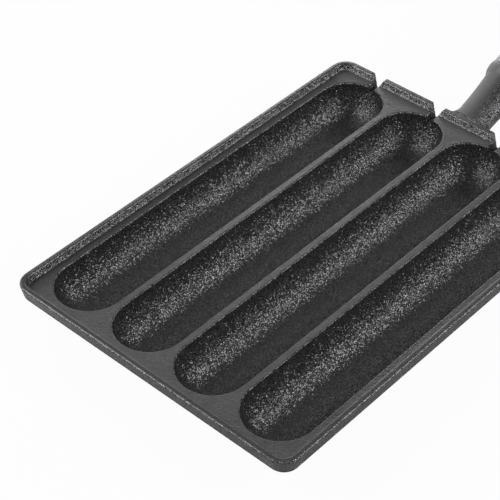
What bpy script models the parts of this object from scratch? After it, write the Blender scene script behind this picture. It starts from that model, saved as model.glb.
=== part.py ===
"""Sausage grill pan: a cast-iron tray of four long troughs on a bolted wooden handle.

Metres, +Z up. The pan stands on Z = 0 on the ground flats under its troughs, +Y runs towards
the handle, and the origin is the middle of the whole object's footprint.
"""
import math

import bmesh
import bpy
from mathutils import Matrix, Vector

# Troughs
TROUGH_COUNT = 4
TROUGH_PITCH = 0.037
TROUGH_RADIUS = 0.0171
TROUGH_LENGTH = 0.2086
CASTING_WALL = 0.0034
GROUND_DEPTH = 0.0009

# Flange and rim lip, from the troughs outwards
SIDE_LAND = 0.0036
END_LAND = 0.0036
LIP_SLOPE = 0.0011
SIDE_LIP = 0.0025
END_LIP = 0.0029
LIP_HEIGHT = 0.0034
FLANGE_THICKNESS = 0.005
RIM_DRAFT_DEG = 10.0
RIM_CORNER = 0.0085
RIM_UNDER_EDGE = 0.0022

# Stick notches through the handle-side rim
NOTCH_TOP_WIDTH = 0.0082
NOTCH_FLOOR_WIDTH = 0.0018
NOTCH_DEPTH = 0.0037
NOTCH_FLOOR_ROUND = 0.0007
NOTCH_REACH = 0.01

# Cast neck and collar, along the handle axis; the neck starts as flat as the rim and ends round
HANDLE_RISE_DEG = 13.7
NECK_AXIS_HEIGHT = 0.0016
NECK_ROOT_HALF_WIDTH = 0.0089
NECK_END_RADIUS = 0.0105
NECK_LENGTH = 0.0266
ROOT_FLARE = 0.004
ROOT_LENGTH = 0.0055
ROOT_INSET = 0.004
ROOT_EDGE = 0.0003
ROOT_SQUARENESS = 5.0
COLLAR_RADIUS = 0.0125
COLLAR_LENGTH = 0.009
COLLAR_CREST = 0.62

# Clamped handle stack
FIT_GAP = 0.0003
ROD_RADIUS = 0.003
ROD_IN_NECK = 0.0217
ROD_IN_NUT = 0.007
ROD_CHAMFER = 0.0005
FERRULE_RADIUS = 0.0123
FERRULE_LENGTH = 0.015
SHEET_WALL = 0.0008
GRIP_LENGTH = 0.129
GRIP_FRONT_RADIUS = 0.0125
GRIP_SWELL_RADIUS = 0.0156
GRIP_SWELL_AT = 0.6
GRIP_TAIL_RADIUS = 0.0128
CAP_RADIUS = 0.0122
CAP_LENGTH = 0.0095
WASHER_RADIUS = 0.0059
WASHER_THICKNESS = 0.0016
WASHER_SPLIT = 0.0012
WASHER_SLANT_DEG = 25.0
NUT_ACROSS_FLATS = 0.01
NUT_HEIGHT = 0.0095
EYE_RADIUS = 0.0055
EYE_THICKNESS = 0.005
EYE_HOLE_RADIUS = 0.0018
RING_RADIUS = 0.0135
RING_WIRE_RADIUS = 0.00125

# How finely the round shapes are divided
TURN_STEPS = 32
END_STEPS = 8
SECTION_STEPS = 32
NECK_STEPS = 6
GRIP_STEPS = 16
BEND_STEPS = 4
RING_STEPS = 36
WIRE_STEPS = 10
OVERCUT = 0.002
OVERLAP = 0.003
SHARP_DEG = 35.0

# Derived places
HALF_SPREAD = TROUGH_PITCH * (TROUGH_COUNT - 1) / 2
LAND_HALF_X = HALF_SPREAD + TROUGH_RADIUS + SIDE_LAND
LAND_HALF_Y = TROUGH_LENGTH / 2 + END_LAND
RIM_HALF_X = LAND_HALF_X + LIP_SLOPE + SIDE_LIP
RIM_HALF_Y = LAND_HALF_Y + LIP_SLOPE + END_LIP
LAND_Z = TROUGH_RADIUS + CASTING_WALL - GROUND_DEPTH
LIP_Z = LAND_Z + LIP_HEIGHT
RISE = math.radians(HANDLE_RISE_DEG)

# Stations along the handle axis, measured from the rim's outer face
COLLAR_END = NECK_LENGTH + COLLAR_LENGTH
FERRULE_START = COLLAR_END + FIT_GAP
GRIP_START = FERRULE_START + SHEET_WALL + FIT_GAP
GRIP_END = GRIP_START + GRIP_LENGTH
CAP_END = GRIP_END + FIT_GAP + SHEET_WALL
WASHER_START = CAP_END + FIT_GAP
NUT_START = WASHER_START + WASHER_THICKNESS + FIT_GAP
EYE_AT = NUT_START + NUT_HEIGHT + EYE_RADIUS - EYE_HOLE_RADIUS / 2
ROD_START = COLLAR_END - ROD_IN_NECK
ROD_END = NUT_START + ROD_IN_NUT

# The footprint's middle in Y is the origin
HANDLE_REACH = EYE_AT * math.cos(RISE) + EYE_RADIUS
PAN_Y = -HANDLE_REACH / 2
RIM_FACE_Y = PAN_Y + RIM_HALF_Y


def clear_scene():
    for item in list(bpy.data.objects):
        bpy.data.objects.remove(item, do_unlink=True)


def new_collection(name):
    group = bpy.data.collections.new(name)
    bpy.context.scene.collection.children.link(group)
    return group


def make_material(name, color, roughness, metallic):
    """A plain finish in the part's colour."""
    material = bpy.data.materials.new(name)
    material.use_nodes = True
    shader = material.node_tree.nodes["Principled BSDF"]
    shader.inputs["Base Color"].default_value = (*color, 1.0)
    shader.inputs["Roughness"].default_value = roughness
    shader.inputs["Metallic"].default_value = metallic
    return material


def add_object(name, mesh, group, material=None):
    item = bpy.data.objects.new(name, mesh)
    group.objects.link(item)
    if material:
        mesh.materials.append(material)
        mesh.shade_smooth()
        mesh.set_sharp_from_angle(angle=math.radians(SHARP_DEG))
    return item


def mesh_from(bm, name):
    mesh = bpy.data.meshes.new(name)
    bm.to_mesh(mesh)
    bm.free()
    return mesh


def turned(name, profile, group, material=None, steps=TURN_STEPS):
    """Turn (radius, height) points about Z; the points run down the outer side, top to bottom."""
    bm = bmesh.new()
    points = [bm.verts.new((radius, 0.0, height)) for radius, height in profile]
    for first, second in zip(points, points[1:]):
        bm.edges.new((first, second))
    item = add_object(name, mesh_from(bm, name), group)
    screw = item.modifiers.new("turn", "SCREW")
    screw.axis = "Z"
    screw.steps = steps
    screw.render_steps = steps
    screw.use_merge_vertices = True
    screw.merge_threshold = 0.00001
    screw.use_smooth_shade = False
    graph = bpy.context.evaluated_depsgraph_get()
    mesh = bpy.data.meshes.new_from_object(item.evaluated_get(graph))
    mesh.name = name
    old = item.data
    item.modifiers.clear()
    item.data = mesh
    bpy.data.meshes.remove(old)
    if material:
        mesh.materials.append(material)
        mesh.shade_smooth()
        mesh.set_sharp_from_angle(angle=math.radians(SHARP_DEG))
    return item


def boolean(item, other, operation):
    step = item.modifiers.new(other.name, "BOOLEAN")
    step.object = other
    step.operation = operation
    step.solver = "EXACT"


def as_cutter(item):
    item.hide_render = True
    item.display_type = "WIRE"
    return item


def rounded_slab(name, half_x, half_y, corner, low, high, low_inset, group, edge=0.0):
    """A block with rounded corners whose lower outline is drawn in by low_inset."""
    bm = bmesh.new()
    bmesh.ops.create_cube(bm, size=1.0)
    scale = Vector((2 * half_x, 2 * half_y, high - low))
    bmesh.ops.scale(bm, vec=scale, verts=bm.verts)
    bmesh.ops.translate(bm, vec=(0, 0, (high + low) / 2), verts=bm.verts)
    upright = [e for e in bm.edges if abs(e.verts[0].co.z - e.verts[1].co.z) > (high - low) / 2]
    bmesh.ops.bevel(bm, geom=upright, offset=corner, segments=8, profile=0.5, affect="EDGES")
    shrink = (corner - low_inset) / corner
    middle = (high + low) / 2
    for vert in bm.verts:
        if vert.co.z < middle:
            centre_x = math.copysign(half_x - corner, vert.co.x)
            centre_y = math.copysign(half_y - corner, vert.co.y)
            vert.co.x = centre_x + (vert.co.x - centre_x) * shrink
            vert.co.y = centre_y + (vert.co.y - centre_y) * shrink
    if edge:
        under = [e for e in bm.edges if max(v.co.z for v in e.verts) < middle]
        bmesh.ops.bevel(bm, geom=under, offset=edge, segments=3, profile=0.5, affect="EDGES")
    return add_object(name, mesh_from(bm, name), group)


def capsule(name, radius, x, group, low=None, high=None):
    """A trough's round form: a cylinder along Y with ball ends, cut level at low and high."""
    straight = TROUGH_LENGTH / 2 - TROUGH_RADIUS
    profile = []
    for side in (1, -1):
        angles = [math.pi / 2 * step / END_STEPS for step in range(END_STEPS + 1)]
        if side < 0:
            angles.reverse()
        for angle in angles:
            profile.append((radius * math.sin(angle), side * (straight + radius * math.cos(angle))))
    item = turned(name, profile, group)
    bm = bmesh.new()
    bm.from_mesh(item.data)
    bmesh.ops.rotate(bm, cent=(0, 0, 0), matrix=Matrix.Rotation(-math.pi / 2, 3, "X"), verts=bm.verts)
    for level, normal in ((low, (0, 0, -1)), (high, (0, 0, 1))):
        if level is None:
            continue
        geometry = bm.verts[:] + bm.edges[:] + bm.faces[:]
        cut = bmesh.ops.bisect_plane(
            bm, geom=geometry, dist=1e-7, plane_co=(0, 0, level), plane_no=normal, clear_outer=True
        )
        rim = [part for part in cut["geom_cut"] if isinstance(part, bmesh.types.BMEdge)]
        bmesh.ops.edgeloop_fill(bm, edges=rim)
    bmesh.ops.recalc_face_normals(bm, faces=bm.faces)
    bm.to_mesh(item.data)
    bm.free()
    item.location = (x, PAN_Y, LAND_Z)
    return item


def trough_places():
    return [index * TROUGH_PITCH - HALF_SPREAD for index in range(TROUGH_COUNT)]


def notch_cutter(name, x, group):
    """A tapered slot, wide at the lip and narrow at its rounded floor, through the rim into a trough."""
    height = NOTCH_DEPTH + LIP_HEIGHT
    flank = (NOTCH_TOP_WIDTH - NOTCH_FLOOR_WIDTH) / 2 / height
    top = height + OVERCUT
    half_top = NOTCH_FLOOR_WIDTH / 2 + flank * top
    inner = TROUGH_LENGTH / 2 - NOTCH_REACH
    outer = RIM_HALF_Y + OVERCUT
    bm = bmesh.new()
    bmesh.ops.create_cube(bm, size=1.0)
    for vert in bm.verts:
        upper = vert.co.z > 0
        half = half_top if upper else NOTCH_FLOOR_WIDTH / 2
        vert.co.x = math.copysign(half, vert.co.x)
        vert.co.y = outer if vert.co.y > 0 else inner
        vert.co.z = top if upper else 0.0
    floor_edges = [
        e for e in bm.edges
        if max(v.co.z for v in e.verts) == 0.0 and abs(e.verts[0].co.y - e.verts[1].co.y) > 0
    ]
    bmesh.ops.bevel(
        bm, geom=floor_edges, offset=NOTCH_FLOOR_ROUND, segments=3, profile=0.5, affect="EDGES"
    )
    item = add_object(name, mesh_from(bm, name), group)
    item.location = (x, PAN_Y, LAND_Z - NOTCH_DEPTH)
    return as_cutter(item)


def smooth(t):
    return t * t * (3 - 2 * t)


def mix(first, second, t):
    return first + (second - first) * t


def neck_sections():
    """Sections from inside the rim to the collar's end.

    Each is (centre y, centre z, tilt, half width, height above centre, depth below it, squareness).
    """
    above = LIP_HEIGHT - NECK_AXIS_HEIGHT - ROOT_EDGE
    below = FLANGE_THICKNESS + NECK_AXIS_HEIGHT - ROOT_EDGE
    root = NECK_ROOT_HALF_WIDTH + ROOT_FLARE
    sections = [(-ROOT_INSET, NECK_AXIS_HEIGHT, 0.0, root, above, below, ROOT_SQUARENESS)]
    stations = []
    for step in range(NECK_STEPS + 1):
        angle = math.pi / 2 * step / NECK_STEPS
        flare = ROOT_FLARE * (1 - math.sin(angle))
        stations.append((ROOT_LENGTH * (1 - math.cos(angle)), flare))
    crest = NECK_LENGTH + COLLAR_LENGTH * COLLAR_CREST
    for first, last in ((ROOT_LENGTH, NECK_LENGTH), (NECK_LENGTH, crest), (crest, COLLAR_END)):
        stations += [(mix(first, last, step / NECK_STEPS), 0.0) for step in range(1, NECK_STEPS + 1)]
    for u, flare in stations:
        t = min(u / NECK_LENGTH, 1.0)
        radius = neck_radius(u)
        sections.append((
            u * math.cos(RISE),
            NECK_AXIS_HEIGHT + u * math.sin(RISE),
            RISE * t,
            radius + flare,
            mix(above, radius, t),
            mix(below, radius, t),
            mix(2.0, ROOT_SQUARENESS, (1 - t) ** 4),
        ))
    return sections


def neck_radius(u):
    """The half width: a taper that widens towards the collar, whose crown is an arc."""
    if u <= NECK_LENGTH:
        return mix(NECK_ROOT_HALF_WIDTH, NECK_END_RADIUS, u / NECK_LENGTH)
    crest = NECK_LENGTH + COLLAR_LENGTH * COLLAR_CREST
    rise = COLLAR_RADIUS - NECK_END_RADIUS
    run = COLLAR_LENGTH * COLLAR_CREST
    crown = (run * run + rise * rise) / (2 * rise)
    return COLLAR_RADIUS - crown + math.sqrt(crown * crown - (u - crest) ** 2)


def superellipse(angle, half_width, above, below, power):
    """A point of a rounded outline whose upper and lower halves have their own heights."""
    c, s = math.cos(angle), math.sin(angle)
    x = half_width * math.copysign(abs(c) ** (2 / power), c)
    z = (above if s > 0 else below) * math.copysign(abs(s) ** (2 / power), s)
    return x, z


def neck_solid(group):
    """A loft from the flat rim section into the round neck and its collar."""
    bm = bmesh.new()
    rings = []
    for y, z, tilt, half_width, above, below, power in neck_sections():
        ring = []
        for step in range(SECTION_STEPS):
            x, up = superellipse(2 * math.pi * step / SECTION_STEPS, half_width, above, below, power)
            ring.append(bm.verts.new((x, y - up * math.sin(tilt), z + up * math.cos(tilt))))
        rings.append(ring)
    for near, far in zip(rings, rings[1:]):
        for step in range(SECTION_STEPS):
            after = (step + 1) % SECTION_STEPS
            bm.faces.new((near[step], near[after], far[after], far[step]))
    bm.faces.new(rings[0])
    bm.faces.new(rings[-1])
    bmesh.ops.recalc_face_normals(bm, faces=bm.faces)
    item = add_object("neck_form", mesh_from(bm, "neck_form"), group)
    item.location = (0, RIM_FACE_Y, LAND_Z)
    return as_cutter(item)


def handle_frame(group):
    """An empty at the rim's outer face whose Z runs along the handle."""
    frame = bpy.data.objects.new("handle_axis", None)
    frame.location = (0, RIM_FACE_Y, LAND_Z + NECK_AXIS_HEIGHT)
    frame.rotation_euler = (RISE - math.pi / 2, 0, 0)
    group.objects.link(frame)
    return frame


def pan(group, cutters, frame):
    """The casting: drafted flange, trough walls, neck and collar, then everything that is cut."""
    iron = make_material("cast_iron", (0.035, 0.035, 0.035), 0.6, 0.6)
    drop = math.tan(math.radians(RIM_DRAFT_DEG)) * (LIP_HEIGHT + FLANGE_THICKNESS)
    body = rounded_slab(
        "pan", RIM_HALF_X, RIM_HALF_Y, RIM_CORNER, -FLANGE_THICKNESS, LIP_HEIGHT, drop, group,
        edge=RIM_UNDER_EDGE,
    )
    body.location = (0, PAN_Y, LAND_Z)
    outer_radius = TROUGH_RADIUS + CASTING_WALL
    for index, x in enumerate(trough_places()):
        wall = capsule(
            f"trough_wall_{index + 1}", outer_radius, x, cutters,
            low=-outer_radius + GROUND_DEPTH, high=OVERLAP - FLANGE_THICKNESS,
        )
        boolean(body, as_cutter(wall), "UNION")
    boolean(body, neck_solid(cutters), "UNION")
    corner = RIM_CORNER - SIDE_LIP
    slope = LIP_SLOPE / LIP_HEIGHT
    pocket = rounded_slab(
        "lip_pocket", RIM_HALF_X - SIDE_LIP + slope * OVERCUT, RIM_HALF_Y - END_LIP + slope * OVERCUT,
        corner, 0.0, LIP_HEIGHT + OVERCUT, slope * (LIP_HEIGHT + OVERCUT), cutters,
    )
    pocket.location = (0, PAN_Y, LAND_Z)
    boolean(body, as_cutter(pocket), "DIFFERENCE")
    for index, x in enumerate(trough_places()):
        hollow = capsule(f"trough_hollow_{index + 1}", TROUGH_RADIUS, x, cutters)
        boolean(body, as_cutter(hollow), "DIFFERENCE")
        boolean(body, notch_cutter(f"notch_{index + 1}", x, cutters), "DIFFERENCE")
    reach = COLLAR_END + OVERCUT
    foot = ROD_START - FIT_GAP
    bore = turned("rod_bore", tube_profile(0.0, ROD_RADIUS + FIT_GAP, foot, reach), cutters)
    bore.parent = frame
    boolean(body, as_cutter(bore), "DIFFERENCE")
    body.data.materials.append(iron)
    body.data.shade_smooth()
    body.data.set_sharp_from_angle(angle=math.radians(SHARP_DEG))


def tube_profile(inner, outer, low, high, chamfer=0.0):
    """Outer side from top to bottom; a tube goes back up its bore and closes."""
    points = [(inner, high)] if inner == 0.0 else []
    points += [(outer - chamfer, high)] if chamfer else []
    points += [(outer, high - chamfer), (outer, low + chamfer)]
    points += [(outer - chamfer, low)] if chamfer else []
    if inner == 0.0:
        return points + [(0.0, low)]
    return points + [(inner, low), (inner, high), points[0]]


def cup_profile(radius, closed_end, open_end, hole):
    """A pressed cup: rounded closed end with a hole, thin side wall, as (radius, station) points."""
    toward = 1 if open_end > closed_end else -1
    rounding = 2 * SHEET_WALL
    outer = [(hole, closed_end)]
    for step in range(BEND_STEPS + 1):
        angle = math.pi / 2 * step / BEND_STEPS
        outer.append((
            radius - rounding + rounding * math.sin(angle),
            closed_end + toward * rounding * (1 - math.cos(angle)),
        ))
    outer.append((radius, open_end))
    bend = rounding - SHEET_WALL
    inner = [(radius - SHEET_WALL, open_end)]
    for step in range(BEND_STEPS + 1):
        angle = math.pi / 2 * (BEND_STEPS - step) / BEND_STEPS
        inner.append((
            radius - SHEET_WALL - bend + bend * math.sin(angle),
            closed_end + toward * (SHEET_WALL + bend * (1 - math.cos(angle))),
        ))
    inner.append((hole, closed_end + toward * SHEET_WALL))
    loop = outer + inner + [outer[0]]
    return loop[::-1] if toward > 0 else loop


def grip_radius(t):
    """A cosine swell from the front radius up to the palm, then down to the tail."""
    if t < GRIP_SWELL_AT:
        return mix(GRIP_FRONT_RADIUS, GRIP_SWELL_RADIUS, smooth(t / GRIP_SWELL_AT))
    return mix(GRIP_SWELL_RADIUS, GRIP_TAIL_RADIUS, smooth((t - GRIP_SWELL_AT) / (1 - GRIP_SWELL_AT)))


def grip_profile():
    """Tail spigot, swelling body, front spigot and the bore, top to bottom."""
    bore = ROD_RADIUS + FIT_GAP
    front_spigot = FERRULE_RADIUS - SHEET_WALL - FIT_GAP
    tail_spigot = CAP_RADIUS - SHEET_WALL - FIT_GAP
    chamfer = SHEET_WALL + FIT_GAP
    body_low = FERRULE_START + FERRULE_LENGTH + FIT_GAP
    body_high = CAP_END - CAP_LENGTH - FIT_GAP
    points = [(tail_spigot - chamfer, GRIP_END), (tail_spigot, GRIP_END - chamfer), (tail_spigot, body_high)]
    for step in range(GRIP_STEPS + 1):
        t = 1 - step / GRIP_STEPS
        points.append((grip_radius(t), mix(body_low, body_high, t)))
    points += [(front_spigot, body_low), (front_spigot, GRIP_START + chamfer)]
    points += [(front_spigot - chamfer, GRIP_START), (bore, GRIP_START), (bore, GRIP_END)]
    return points + [points[0]]


def on_handle(item, frame):
    item.parent = frame
    return item


def handle_stack(group, cutters, frame):
    """Everything that the rod clamps to the collar, each piece about the handle axis."""
    wood = make_material("oiled_wood", (0.33, 0.17, 0.08), 0.5, 0.0)
    plated = make_material("plated_steel", (0.6, 0.6, 0.6), 0.3, 1.0)
    steel = make_material("bare_steel", (0.45, 0.45, 0.45), 0.35, 1.0)
    hole = ROD_RADIUS + FIT_GAP

    ferrule = cup_profile(FERRULE_RADIUS, FERRULE_START, FERRULE_START + FERRULE_LENGTH, hole)
    on_handle(turned("front_ferrule", ferrule, group, plated), frame)
    on_handle(turned("grip", grip_profile(), group, wood), frame)
    rod = tube_profile(0.0, ROD_RADIUS, ROD_START, ROD_END, chamfer=ROD_CHAMFER)
    on_handle(turned("tie_rod", rod, group, steel), frame)
    cap = cup_profile(CAP_RADIUS, CAP_END, CAP_END - CAP_LENGTH, hole)
    on_handle(turned("end_cap", cap, group, plated), frame)

    washer = tube_profile(hole, WASHER_RADIUS, WASHER_START, WASHER_START + WASHER_THICKNESS)
    washer = on_handle(turned("lock_washer", washer, group, steel), frame)
    boolean(washer, washer_split(cutters, frame), "DIFFERENCE")
    eye_nut(group, cutters, frame, steel, hole)
    hanging_ring(group, frame, plated)


def washer_split(cutters, frame):
    """The slanted gap of a spring washer, on its lower side."""
    bm = bmesh.new()
    bmesh.ops.create_cube(bm, size=1.0)
    size = (WASHER_SPLIT, WASHER_RADIUS, WASHER_THICKNESS + 2 * OVERCUT)
    bmesh.ops.scale(bm, vec=size, verts=bm.verts)
    slant = Matrix.Rotation(math.radians(WASHER_SLANT_DEG), 3, "Y")
    bmesh.ops.rotate(bm, cent=(0, 0, 0), matrix=slant, verts=bm.verts)
    item = add_object("washer_split", mesh_from(bm, "washer_split"), cutters)
    item.parent = frame
    item.location = (0, (ROD_RADIUS + WASHER_RADIUS) / 2, WASHER_START + WASHER_THICKNESS / 2)
    return as_cutter(item)


def eye_nut(group, cutters, frame, steel, hole):
    """A hexagon base with a blind thread for the rod, and a flat round eye across X."""
    bm = bmesh.new()
    corner = NUT_ACROSS_FLATS / math.sqrt(3)
    bmesh.ops.create_cone(
        bm, cap_ends=True, segments=6, radius1=corner, radius2=corner, depth=NUT_HEIGHT
    )
    nut = add_object("eye_nut", mesh_from(bm, "eye_nut"), group, steel)
    nut.parent = frame
    nut.location = (0, 0, NUT_START + NUT_HEIGHT / 2)
    across = Matrix.Rotation(math.pi / 2, 4, "Y")
    for name, radius, width, operation in (
        ("eye_disc", EYE_RADIUS, EYE_THICKNESS, "UNION"),
        ("eye_hole", EYE_HOLE_RADIUS, EYE_THICKNESS + 2 * OVERCUT, "DIFFERENCE"),
    ):
        bm = bmesh.new()
        bmesh.ops.create_cone(
            bm, cap_ends=True, segments=TURN_STEPS, radius1=radius, radius2=radius, depth=width, matrix=across
        )
        form = add_object(name, mesh_from(bm, name), cutters)
        form.parent = frame
        form.location = (0, 0, EYE_AT)
        boolean(nut, as_cutter(form), operation)
    thread = tube_profile(0.0, hole, NUT_START - OVERCUT, ROD_END + FIT_GAP)
    thread = turned("nut_thread", thread, cutters)
    thread.parent = frame
    boolean(nut, as_cutter(thread), "DIFFERENCE")


def hanging_ring(group, frame, plated):
    """A wire ring that hangs straight down from the eye; its origin is the eye's centre."""
    pivot = bpy.data.objects.new("ring_pivot", None)
    group.objects.link(pivot)
    pivot.location = (
        0,
        RIM_FACE_Y + EYE_AT * math.cos(RISE),
        LAND_Z + NECK_AXIS_HEIGHT + EYE_AT * math.sin(RISE),
    )
    bpy.ops.mesh.primitive_torus_add(
        major_radius=RING_RADIUS, minor_radius=RING_WIRE_RADIUS, major_segments=RING_STEPS,
        minor_segments=WIRE_STEPS,
        location=(0, 0, 0), rotation=(0, 0, 0),
    )
    ring = bpy.context.object
    ring.name = "hanging_ring"
    for owner in list(ring.users_collection):
        owner.objects.unlink(ring)
    group.objects.link(ring)
    place = Matrix.Translation((0, 0, -RING_RADIUS)) @ Matrix.Rotation(math.pi / 2, 4, "X")
    ring.data.transform(place)
    ring.data.materials.append(plated)
    ring.data.shade_smooth()
    ring.parent = pivot


def main():
    clear_scene()
    group = new_collection("sausage_grill_pan")
    cutters = new_collection("cutters")
    frame = handle_frame(group)
    bpy.context.view_layer.update()
    pan(group, cutters, frame)
    handle_stack(group, cutters, frame)


main()
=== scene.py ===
import math

import bmesh
import bpy
import numpy as np
from mathutils import Matrix, Vector


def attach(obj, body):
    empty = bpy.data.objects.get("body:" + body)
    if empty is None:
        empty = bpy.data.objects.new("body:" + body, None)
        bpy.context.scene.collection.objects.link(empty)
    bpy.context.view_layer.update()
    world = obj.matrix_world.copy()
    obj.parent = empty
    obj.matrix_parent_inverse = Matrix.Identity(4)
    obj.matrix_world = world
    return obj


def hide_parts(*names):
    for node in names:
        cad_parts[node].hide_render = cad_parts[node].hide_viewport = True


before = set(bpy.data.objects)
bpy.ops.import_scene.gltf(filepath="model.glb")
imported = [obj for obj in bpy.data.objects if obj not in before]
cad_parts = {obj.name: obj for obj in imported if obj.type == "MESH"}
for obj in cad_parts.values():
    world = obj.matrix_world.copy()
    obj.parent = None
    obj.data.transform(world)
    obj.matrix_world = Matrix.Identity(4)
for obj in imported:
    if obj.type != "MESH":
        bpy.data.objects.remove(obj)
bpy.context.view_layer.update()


# The camera stands where the photograph was taken from, worked out from the troughs and the rim.
# RIGHT, DOWN and AHEAD are the picture's axes, and EYE is counted from the middle of the lands.
PAN_Y = -0.091841
LAND_Z = 0.0196
SENSOR = 36.0
LENS = 116.2338
CLIP_START = 0.01
EYE = Vector((0.351225, -0.411400, 0.481189))
RIGHT = Vector((0.73493259, 0.67782085, -0.02080844))
DOWN = Vector((0.44226341, -0.50233719, -0.74300769))
AHEAD = Vector((-0.51407895, 0.53685775, -0.66895933))

camera = bpy.data.objects.new("camera", bpy.data.cameras.new("camera"))
bpy.context.scene.collection.objects.link(camera)
camera.data.sensor_width = SENSOR
camera.data.lens = LENS
camera.data.clip_start = CLIP_START
pan_middle = Vector((0.0, PAN_Y, LAND_Z))
stand = EYE + pan_middle
camera.matrix_world = Matrix((
    (RIGHT.x, -DOWN.x, -AHEAD.x, stand.x),
    (RIGHT.y, -DOWN.y, -AHEAD.y, stand.y),
    (RIGHT.z, -DOWN.z, -AHEAD.z, stand.z),
    (0.0, 0.0, 0.0, 1.0),
))
bpy.context.scene.camera = camera
bpy.context.scene.view_settings.view_transform = "Standard"


# The finishes. Value wraps a number socket, so that ordinary arithmetic adds the Math nodes, and
# Finish makes a material, its nodes and its final surface.
class Value:
    def __init__(self, finish, socket):
        self.finish = finish
        self.socket = socket

    def math(self, operation, *others):
        """A Math node on this value and the others."""
        sockets = {index: item for index, item in enumerate((self, *others))}
        return self.finish.node("ShaderNodeMath", {"operation": operation}, sockets)

    def __add__(self, other):
        return self.math("ADD", other)

    def __sub__(self, other):
        return self.math("SUBTRACT", other)

    def __mul__(self, other):
        return self.math("MULTIPLY", other)

    def __truediv__(self, other):
        return self.math("DIVIDE", other)

    def __rsub__(self, other):
        return self.math("MULTIPLY", -1.0).math("ADD", other)

    __radd__ = __add__
    __rmul__ = __mul__

    def __pow__(self, power):
        return self.math("POWER", power)

    def __abs__(self):
        return self.math("ABSOLUTE")

    def above(self, low, high):
        """0 below low, 1 above high, and smooth between."""
        settings = {"interpolation_type": "SMOOTHSTEP"}
        sockets = {"Value": self, "From Min": low, "From Max": high}
        return self.finish.node("ShaderNodeMapRange", settings, sockets)


class Finish:
    def __init__(self, name):
        self.material = bpy.data.materials.new(name)
        self.material.use_nodes = True
        self.tree = self.material.node_tree
        self.shader = self.tree.nodes["Principled BSDF"]
        self.place = self.node("ShaderNodeTexCoord", output="Object")
        self.x = self.node("ShaderNodeSeparateXYZ", {}, {"Vector": self.place}, "X")
        self.y = self.node("ShaderNodeSeparateXYZ", {}, {"Vector": self.place}, "Y")
        self.z = self.node("ShaderNodeSeparateXYZ", {}, {"Vector": self.place}, "Z")

    def feed(self, target, item):
        """Links a value or a socket to an input, or sets the input to a number or a colour."""
        if isinstance(item, Value):
            self.tree.links.new(item.socket, target)
        elif isinstance(item, bpy.types.NodeSocket):
            self.tree.links.new(item, target)
        elif isinstance(item, (tuple, list)) and len(item) == 3 and target.type == "RGBA":
            target.default_value = (*item, 1.0)
        else:
            target.default_value = item

    def node(self, kind, settings=None, sockets=None, output=0):
        """A new node with its settings and inputs, as the value of one of its outputs."""
        made = self.tree.nodes.new(kind)
        for name, setting in (settings or {}).items():
            setattr(made, name, setting)
        for name, item in (sockets or {}).items():
            self.feed(made.inputs[name], item)
        return Value(self, made.outputs[output])

    def noise(self, scale, detail=2.0, roughness=0.5, place=None):
        sockets = {"Vector": place or self.place, "Scale": scale}
        sockets.update({"Detail": detail, "Roughness": roughness})
        return self.node("ShaderNodeTexNoise", {}, sockets, "Fac")

    def point(self, x, y, z):
        return self.node("ShaderNodeCombineXYZ", {}, {"X": x, "Y": y, "Z": z})

    def vector(self, operation, first, second=None):
        """A Vector Math node; SCALE takes a number for its second input, NORMALIZE takes none."""
        sockets = {0: first}
        if second is not None:
            sockets["Scale" if operation == "SCALE" else 1] = second
        return self.node("ShaderNodeVectorMath", {"operation": operation}, sockets)

    def blend(self, amount, first, second):
        """A colour that goes from first to second with amount.

        The Mix node's colour inputs are its sockets 6 and 7, and its colour output is number 2.
        """
        sockets = {0: amount, 6: first, 7: second}
        return self.node("ShaderNodeMix", {"data_type": "RGBA"}, sockets, 2)

    def bump(self, height, distance, normal=None):
        sockets = {"Height": height, "Distance": distance}
        if normal:
            sockets["Normal"] = normal
        return self.node("ShaderNodeBump", {}, sockets, "Normal")

    def surface(self, **sockets):
        """Feeds the shader's inputs, named in lower case with underscores; gives the material."""
        for name, item in sockets.items():
            self.feed(self.shader.inputs[name.replace("_", " ").title()], item)
        return self.material


# The studio: a pale floor that keeps the pan's shadow and shows white to the camera, and six soft
# lamps. The key stands behind on the right and makes the band of glints in the troughs, the panel
# over the back left lights the lands, and the others lift the near ends, the rim and the neck.
FLOOR_SIZE = 6.0
FLOOR_COLOUR = (0.5, 0.5, 0.5)
FLOOR_ROUGHNESS = 0.9
WHITE = (1.0, 1.0, 1.0)
WHITE_TO_CAMERA = 0.96
LAMP_DISTANCE = 1.3
# Each lamp's direction from the pan, its diameter in metres and its power in watts
LAMPS = {
    "key_light": ((0.72, 0.41, 0.55), 0.5, 11.0),
    "panel_light": ((-0.44, 0.68, 0.58), 0.9, 2.15),
    "back_light": ((-0.7, 0.7, 0.2), 0.5, 5.0),
    "front_light": ((-0.61, -0.55, 0.56), 0.75, 14.0),
    "left_light": ((-0.9, 0.3, 0.32), 1.1, 1.8),
    "top_left_light": ((-0.71, 0.05, 0.70), 0.9, 2.6),
}
SURROUND = 0.28

floor_mesh = bpy.data.meshes.new("floor")
half = FLOOR_SIZE / 2
floor_corners = [(-half, -half, 0), (half, -half, 0), (half, half, 0), (-half, half, 0)]
floor_mesh.from_pydata(floor_corners, [], [(0, 1, 2, 3)])
floor = bpy.data.objects.new("floor", floor_mesh)
bpy.context.scene.collection.objects.link(floor)
paper = Finish("floor_paper")
paper.surface(base_color=FLOOR_COLOUR, roughness=FLOOR_ROUGHNESS)
seen = paper.node("ShaderNodeLightPath", output="Is Camera Ray")
white = paper.node("ShaderNodeEmission", {}, {"Color": WHITE, "Strength": 1.0})
halves = {0: seen * WHITE_TO_CAMERA, 1: paper.shader.outputs[0], 2: white}
mixed = paper.node("ShaderNodeMixShader", {}, halves)
paper.feed(paper.tree.nodes["Material Output"].inputs["Surface"], mixed)
floor_mesh.materials.append(paper.material)

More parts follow.
